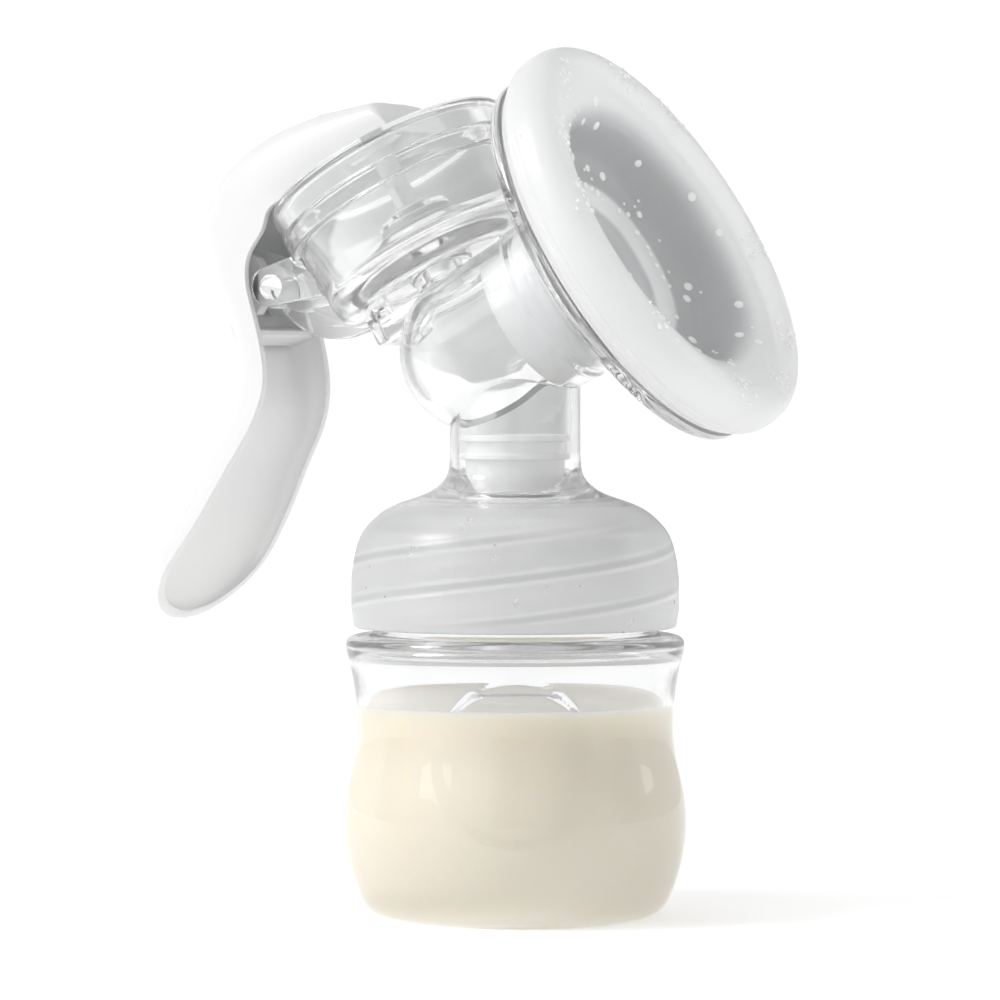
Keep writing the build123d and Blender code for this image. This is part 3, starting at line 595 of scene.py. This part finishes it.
# ------------------------------------------------------------------ materials
class Paint:
    """Small helper round one material's node tree."""

    def __init__(self, name):
        self.mat = bpy.data.materials.new(name)
        self.mat.use_nodes = True
        self.tree = self.mat.node_tree
        self.shader = self.tree.nodes["Principled BSDF"]
        self.out = self.tree.nodes["Material Output"]
        self.place = self.node("ShaderNodeTexCoord").outputs["Object"]

    def node(self, kind, **values):
        made = self.tree.nodes.new(kind)
        for key, value in values.items():
            setattr(made, key, value)
        return made

    def link(self, a, b):
        self.tree.links.new(a, b)

    def set(self, **values):
        names = {"color": "Base Color", "glass": "Transmission Weight", "ior": "IOR", "coat": "Coat Weight",
                 "coat_rough": "Coat Roughness", "subsurface": "Subsurface Weight",
                 "radius": "Subsurface Radius", "scale": "Subsurface Scale",
                 "specular": "Specular IOR Level"}
        for key, value in values.items():
            self.shader.inputs[names[key]].default_value = value

    def noise(self, scale, detail=3.0, stretch=None):
        made = self.node("ShaderNodeTexNoise")
        made.inputs["Scale"].default_value = scale
        made.inputs["Detail"].default_value = detail
        source = self.place
        if stretch:
            mapping = self.node("ShaderNodeMapping")
            mapping.inputs["Scale"].default_value = stretch
            self.link(self.place, mapping.inputs["Vector"])
            source = mapping.outputs["Vector"]
        self.link(source, made.inputs["Vector"])
        return made.outputs["Fac"]

    def span(self, value, low, high, start=0.3, stop=0.7, curve="LINEAR"):
        """Maps start..stop on to low..high."""
        made = self.node("ShaderNodeMapRange", interpolation_type=curve)
        for key, number in (("From Min", start), ("From Max", stop), ("To Min", low), ("To Max", high)):
            made.inputs[key].default_value = number
        self.link(value, made.inputs["Value"])
        return made.outputs["Result"]

    def math(self, operation, a, b=0.0):
        made = self.node("ShaderNodeMath", operation=operation)
        for slot, value in enumerate((a, b)):
            if isinstance(value, (int, float)):
                made.inputs[slot].default_value = value
            else:
                self.link(value, made.inputs[slot])
        return made.outputs[0]

    def along(self, direction):
        """Millimetres of the surface point along a direction."""
        made = self.node("ShaderNodeVectorMath", operation="DOT_PRODUCT")
        made.inputs[1].default_value = [float(k) / MM for k in direction]
        self.link(self.place, made.inputs[0])
        return made.outputs["Value"]

    def step(self, value, start, stop, low=0.0, high=1.0):
        """The same with soft ends."""
        return self.span(value, low, high, start, stop, "SMOOTHSTEP")

    def blend(self, value, a, b):
        made = self.node("ShaderNodeMix", data_type="RGBA")
        made.inputs["A"].default_value = (*a, 1)
        made.inputs["B"].default_value = (*b, 1)
        self.link(value, made.inputs["Factor"])
        return made.outputs["Result"]

    def colors(self, value, a, b, start=0.3, stop=0.7):
        self.link(self.blend(self.span(value, 0, 1, start, stop), a, b), self.shader.inputs["Base Color"])

    def roughness(self, value, low, high, start=0.3, stop=0.7):
        self.link(self.span(value, low, high, start, stop), self.shader.inputs["Roughness"])

    def bump(self, value, depth, strength=1.0):
        made = self.node("ShaderNodeBump")
        made.inputs["Strength"].default_value = strength
        made.inputs["Distance"].default_value = depth * MM
        self.link(value, made.inputs["Height"])
        self.link(made.outputs["Normal"], self.shader.inputs["Normal"])

    def light_shadow(self, tint=0.96, turns=99):
        """Shadow rays pass straight through, and so does light caught in a wall for more than some turns."""
        path = self.node("ShaderNodeLightPath")
        late = self.node("ShaderNodeMath", operation="GREATER_THAN")
        late.inputs[1].default_value = turns
        self.link(path.outputs["Ray Depth"], late.inputs[0])
        either = self.node("ShaderNodeMath", operation="MAXIMUM")
        self.link(path.outputs["Is Shadow Ray"], either.inputs[0])
        self.link(late.outputs[0], either.inputs[1])
        pass_through = self.node("ShaderNodeBsdfTransparent")
        pass_through.inputs["Color"].default_value = (tint, tint, tint, 1)
        mix = self.node("ShaderNodeMixShader")
        self.link(either.outputs[0], mix.inputs["Fac"])
        self.link(self.shader.outputs["BSDF"], mix.inputs[1])
        self.link(pass_through.outputs["BSDF"], mix.inputs[2])
        self.link(mix.outputs["Shader"], self.out.inputs["Surface"])


def clear_plastic(name, ior, tint, low, high):
    """Clear moulding with faint flow marks and a little haze."""
    p = Paint(name)
    p.set(color=(*tint, 1), glass=0.93, ior=ior)
    p.roughness(p.noise(90, 4), low, high)
    p.bump(p.noise(140, 2), 0.012, 0.35)
    p.light_shadow(turns=5)
    return p.mat


def frosted_plastic():
    """Frosted collar; the screw ridges are painted into its colour as pairs of soft slanting lines, a
    painted highlight beside a painted shade line, standing in for the light on the ridges inside the wall.
    """
    p = Paint("frosted_body")
    p.set(glass=0.55, ior=1.49, specular=0.5)
    turn = p.math("ARCTAN2", p.along((0, 1, 0)), p.along((1, 0, 0)))
    high = p.along((0, 0, 1))
    climb = p.math("SUBTRACT", high, p.math("MULTIPLY", turn, LEAD / (2 * math.pi)))
    phase = p.math("FRACT", p.math("DIVIDE", p.math("SUBTRACT", climb, FIRST_Z - DROP), PITCH))
    half = p.math("ABSOLUTE", p.math("SUBTRACT", phase, 0.5))
    away = p.math("MULTIPLY", p.math("SUBTRACT", 0.5, half), PITCH)
    band = p.math("MULTIPLY", p.step(high, 58.4, 60.2), p.step(high, 75.5, 79.5, 1.0, 0.0))
    patchy = p.math("MULTIPLY", band, p.span(p.noise(22, 2), 0.45, 1.0))
    # Painted highlight (bright) along each ridge and painted shade (shade) beside it, only in the patchy
    # threaded band; both go into the base colour.
    bright = p.step(p.math("ABSOLUTE", p.math("SUBTRACT", away, 1.05)), 0.05, 0.75, 1.0, 0.0)
    shade = p.step(away, 0.2, 1.0, 1.0, 0.0)
    light = p.math("MULTIPLY", p.math("SUBTRACT", bright, shade), patchy)
    level = p.math("ADD", light, p.span(p.noise(35, 4), -0.12, 0.12))
    p.colors(level, (0.66, 0.665, 0.67), (0.96, 0.96, 0.965), -1.0, 1.0)
    p.roughness(p.noise(220, 5), 0.27, 0.35)
    p.bump(p.math("MULTIPLY", p.step(away, 0.5, 1.7, 1.0, 0.0), patchy), 0.3, 0.8)
    p.light_shadow(0.8)
    return p.mat


def milk_material():
    p = Paint("milk")
    p.set(subsurface=1.0, radius=(1.0, 0.88, 0.7), scale=0.005, ior=1.35, specular=0.5)
    p.colors(p.noise(28, 5), (0.87, 0.81, 0.685), (0.915, 0.865, 0.76))
    p.roughness(p.noise(60, 3), 0.10, 0.22)
    p.bump(p.noise(120, 2), 0.02, 0.2)
    return p.mat


def silicone(name, color, glass, rough, scale):
    """Milky moulded rubber with a very fine grain."""
    p = Paint(name)
    p.set(glass=glass, ior=1.41, subsurface=0.6, radius=(1.0, 1.0, 1.0), scale=scale, specular=0.45)
    dim = tuple(0.96 * c for c in color)
    p.colors(p.noise(45, 5), dim, color)
    p.roughness(p.noise(320, 4), rough - 0.05, rough + 0.06)
    p.bump(p.noise(1500, 3), 0.015, 0.4)
    p.light_shadow(0.6)
    return p.mat


def cushion_silicone():
    """Milky lip and inner ring; the thinner floor of the well between them is painted greyer, like the
    throat: painted shade in the recess, seen through the thin silicone.
    """
    p = Paint("cushion_silicone")
    p.set(glass=0.42, ior=1.41, subsurface=0.6, radius=(1.0, 1.0, 1.0), scale=0.003, specular=0.45)
    up = (-math.sin(TILT), 0, math.cos(TILT))
    rise = p.math("SUBTRACT", p.along(up), AXIS_Z * math.cos(TILT))
    side = p.along((0, 1, 0))
    radius = p.math("SQRT", p.math("ADD", p.math("MULTIPLY", rise, rise), p.math("MULTIPLY", side, side)))
    radius = p.math("ADD", radius, p.span(p.noise(30, 3), -0.25, 0.25))
    # Lip and inner ring stay light; the well floor between them and the throat are painted darker as painted
    # shade.
    lip = p.step(radius, 26.0, 30.6)
    ring = p.math("MULTIPLY", p.step(radius, 13.6, 14.6), p.step(radius, 17.2, 18.4, 1.0, 0.0))
    throat = p.step(radius, 13.0, 14.2, 0.45, 0.0)
    level = p.math("ADD", p.math("ADD", lip, ring), throat)
    level = p.math("ADD", level, p.span(p.noise(60, 4), -0.05, 0.05))
    p.colors(level, (0.55, 0.555, 0.56), (0.95, 0.955, 0.96), 0.0, 1.0)
    p.roughness(p.noise(320, 4), 0.29, 0.40)
    p.bump(p.noise(1500, 3), 0.015, 0.4)
    p.light_shadow(0.6)
    return p.mat


def white_plastic(name, color, rough):
    """Satin white moulding."""
    p = Paint(name)
    p.set(ior=1.49, coat=0.12, coat_rough=0.18, subsurface=0.12, radius=(1.0, 1.0, 1.0), scale=0.0015)
    dim = tuple(0.965 * c for c in color)
    p.colors(p.noise(24, 5, (1, 1, 0.35)), dim, color)
    p.roughness(p.noise(260, 4), rough - 0.05, rough + 0.06)
    p.bump(p.noise(2200, 4), 0.012, 0.45)
    return p.mat


def wear(obj, material):
    """Makes the material the object's only one."""
    obj.data.materials.clear()
    obj.data.materials.append(material)


# ------------------------------------------------------------------ build
FROST_TOP = 81.6        # the collar is frosted below this height


def build():
    clear = clear_plastic("clear_bottle", 1.50, (0.94, 0.943, 0.947), 0.0, 0.03)
    body_clear = clear_plastic("clear_body", 1.49, (0.985, 0.988, 0.99), 0.01, 0.05)
    cap_clear = clear_plastic("clear_diaphragm", 1.41, (0.975, 0.978, 0.98), 0.04, 0.11)
    white = white_plastic("white_handle", (0.80, 0.80, 0.805), 0.34)

    def place(obj, material, body, node, slot):
        wear(obj, material)
        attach(obj, body)
        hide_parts(node)
        return obj

    place(make_bottle(), clear, "bottle", "bottle", "bottle_clear")
    place(make_milk(), milk_material(), "milk", "milk", "milk")
    shell = place(make_pump_body(), body_clear, "pump", "pump_body", "body_clear")
    shell.data.materials.append(frosted_plastic())
    for face in shell.data.polygons:
        if face.center.z < FROST_TOP * MM:
            face.material_index = 1
    place(make_cushion(), cushion_silicone(), "cushion", "cushion", "cushion_silicone")
    place(make_dots(), silicone("dot_silicone", (1.0, 1.0, 1.0), 0.0, 0.4, 0.001), "cushion", "cushion",
          "cushion_silicone")
    rubber = silicone("valve_silicone", (0.93, 0.93, 0.935), 0.15, 0.38, 0.003)
    place(make_valve(), rubber, "valve", "valve", "valve_silicone")
    cup, hub = make_diaphragm()
    place(hub, cap_clear, "stem", "diaphragm", "diaphragm_silicone")
    wear(cup, cap_clear)
    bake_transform(cup)
    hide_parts("diaphragm")
    place(make_stem(), white_plastic("stem_plastic", (0.84, 0.84, 0.845), 0.3), "stem", "stem",
          "stem_plastic")
    place(make_handle(), white, "handle", "handle", "handle_plastic")


# ------------------------------------------------------------------ studio
VIEW_TURN = math.radians(26.0)          # direction the camera looks from, about Z
CAMERA_AWAY, CAMERA_HIGH = 1.03, 0.108  # metres
LOOK_LEFT, LOOK_HIGH = 0.003, 0.0826


def make_floor():
    size = 2.6
    mesh = bpy.data.meshes.new("floor")
    corners = [(-size, -size, 0), (size, -size, 0), (size, size, 0), (-size, size, 0)]
    mesh.from_pydata(corners, [], [(0, 1, 2, 3)])
    floor = bpy.data.objects.new("floor", mesh)
    bpy.context.scene.collection.objects.link(floor)
    p = Paint("floor_paper")
    p.colors(p.noise(6, 2), (0.89, 0.89, 0.89), (0.905, 0.905, 0.905))
    p.roughness(p.noise(30, 3), 0.85, 0.95)
    p.set(specular=0.1)
    p.shader.inputs["Emission Color"].default_value = (1, 1, 1, 1)
    p.shader.inputs["Emission Strength"].default_value = 0.31
    floor.data.materials.append(p.mat)


def make_world():
    """White studio: bright screens with greyer gaps between them; the backdrop itself is plain white."""
    world = bpy.data.worlds.new("studio")
    bpy.context.scene.world = world
    world.use_nodes = True
    tree = world.node_tree
    tree.nodes.clear()

    def node(kind, **values):
        made = tree.nodes.new(kind)
        for key, value in values.items():
            setattr(made, key, value)
        return made

    def math_node(operation, a, b=None):
        made = node("ShaderNodeMath", operation=operation)
        for slot, value in ((0, a), (1, b)):
            if value is None:
                continue
            if isinstance(value, (int, float)):
                made.inputs[slot].default_value = value
            else:
                tree.links.new(value, made.inputs[slot])
        return made.outputs[0]

    aim = node("ShaderNodeTexCoord").outputs["Generated"]
    split = node("ShaderNodeSeparateXYZ")
    tree.links.new(aim, split.inputs[0])
    turn = math_node("ARCTAN2", split.outputs["Y"], split.outputs["X"])
    turn = math_node("ADD", turn, math.radians(-90) + VIEW_TURN)
    wave = math_node("COSINE", math_node("MULTIPLY", turn, 4.0))
    screens = node("ShaderNodeMapRange", interpolation_type="SMOOTHSTEP")
    for key, value in (("From Min", -0.99), ("From Max", -0.5), ("To Min", 0.42), ("To Max", 0.90)):
        screens.inputs[key].default_value = value
    tree.links.new(wave, screens.inputs["Value"])
    roof = node("ShaderNodeMapRange", interpolation_type="SMOOTHSTEP")
    for key, value in (("From Min", 0.45), ("From Max", 0.8), ("To Min", 0.0), ("To Max", 1.0)):
        roof.inputs[key].default_value = value
    tree.links.new(split.outputs["Z"], roof.inputs["Value"])
    below = math_node("SUBTRACT", 1.0, roof.outputs["Result"])
    wall = math_node("MULTIPLY", screens.outputs["Result"], below)
    level = math_node("ADD", wall, math_node("MULTIPLY", roof.outputs["Result"], 0.62))
    seen = node("ShaderNodeLightPath").outputs["Is Camera Ray"]
    level = math_node("MULTIPLY", level, math_node("SUBTRACT", 1.0, seen))
    level = math_node("ADD", level, math_node("MULTIPLY", seen, 1.03))
    back = node("ShaderNodeBackground")
    back.inputs["Color"].default_value = (1, 1, 1, 1)
    tree.links.new(level, back.inputs["Strength"])
    tree.links.new(back.outputs[0], node("ShaderNodeOutputWorld").inputs[0])


def add_light(name, kind, place, target, power, size=None, size_y=None, angle=None):
    data = bpy.data.lights.new(name, kind)
    data.energy = power
    if kind == "AREA":
        data.shape, data.size, data.size_y = "RECTANGLE", size, size_y
    if angle is not None:
        data.angle = math.radians(angle)
    light = bpy.data.objects.new(name, data)
    bpy.context.scene.collection.objects.link(light)
    light.location = place
    light.rotation_euler = (Vector(target) - Vector(place)).to_track_quat("-Z", "Y").to_euler()


def around(turn, distance, height):
    """Point at an angle round the object, measured from the camera's side; positive is to the right."""
    a = VIEW_TURN + math.radians(turn)
    return (distance * math.sin(a), -distance * math.cos(a), height)


def make_studio():
    make_floor()
    make_world()
    centre = (0, 0, 0.08)
    add_light("sun", "SUN", around(-78, 1.0, 1.0), centre, 1.05, angle=20)
    add_light("softbox_left", "AREA", around(-58, 0.75, 0.5), centre, 0.8, 0.35, 0.6)
    add_light("strip_right", "AREA", around(105, 0.8, 0.45), centre, 0.5, 0.18, 0.6)
    data = bpy.data.cameras.new("camera")
    data.lens, data.sensor_width = 187.2, 36.0
    data.clip_end = 20.0
    camera = bpy.data.objects.new("camera", data)
    bpy.context.scene.collection.objects.link(camera)
    camera.location = around(0, CAMERA_AWAY, CAMERA_HIGH)
    target = Vector((-LOOK_LEFT * math.cos(VIEW_TURN), -LOOK_LEFT * math.sin(VIEW_TURN), LOOK_HIGH))
    camera.rotation_euler = (target - camera.location).to_track_quat("-Z", "Y").to_euler()
    bpy.context.scene.camera = camera
    bpy.context.scene.view_settings.view_transform = "Standard"


build()
make_studio()
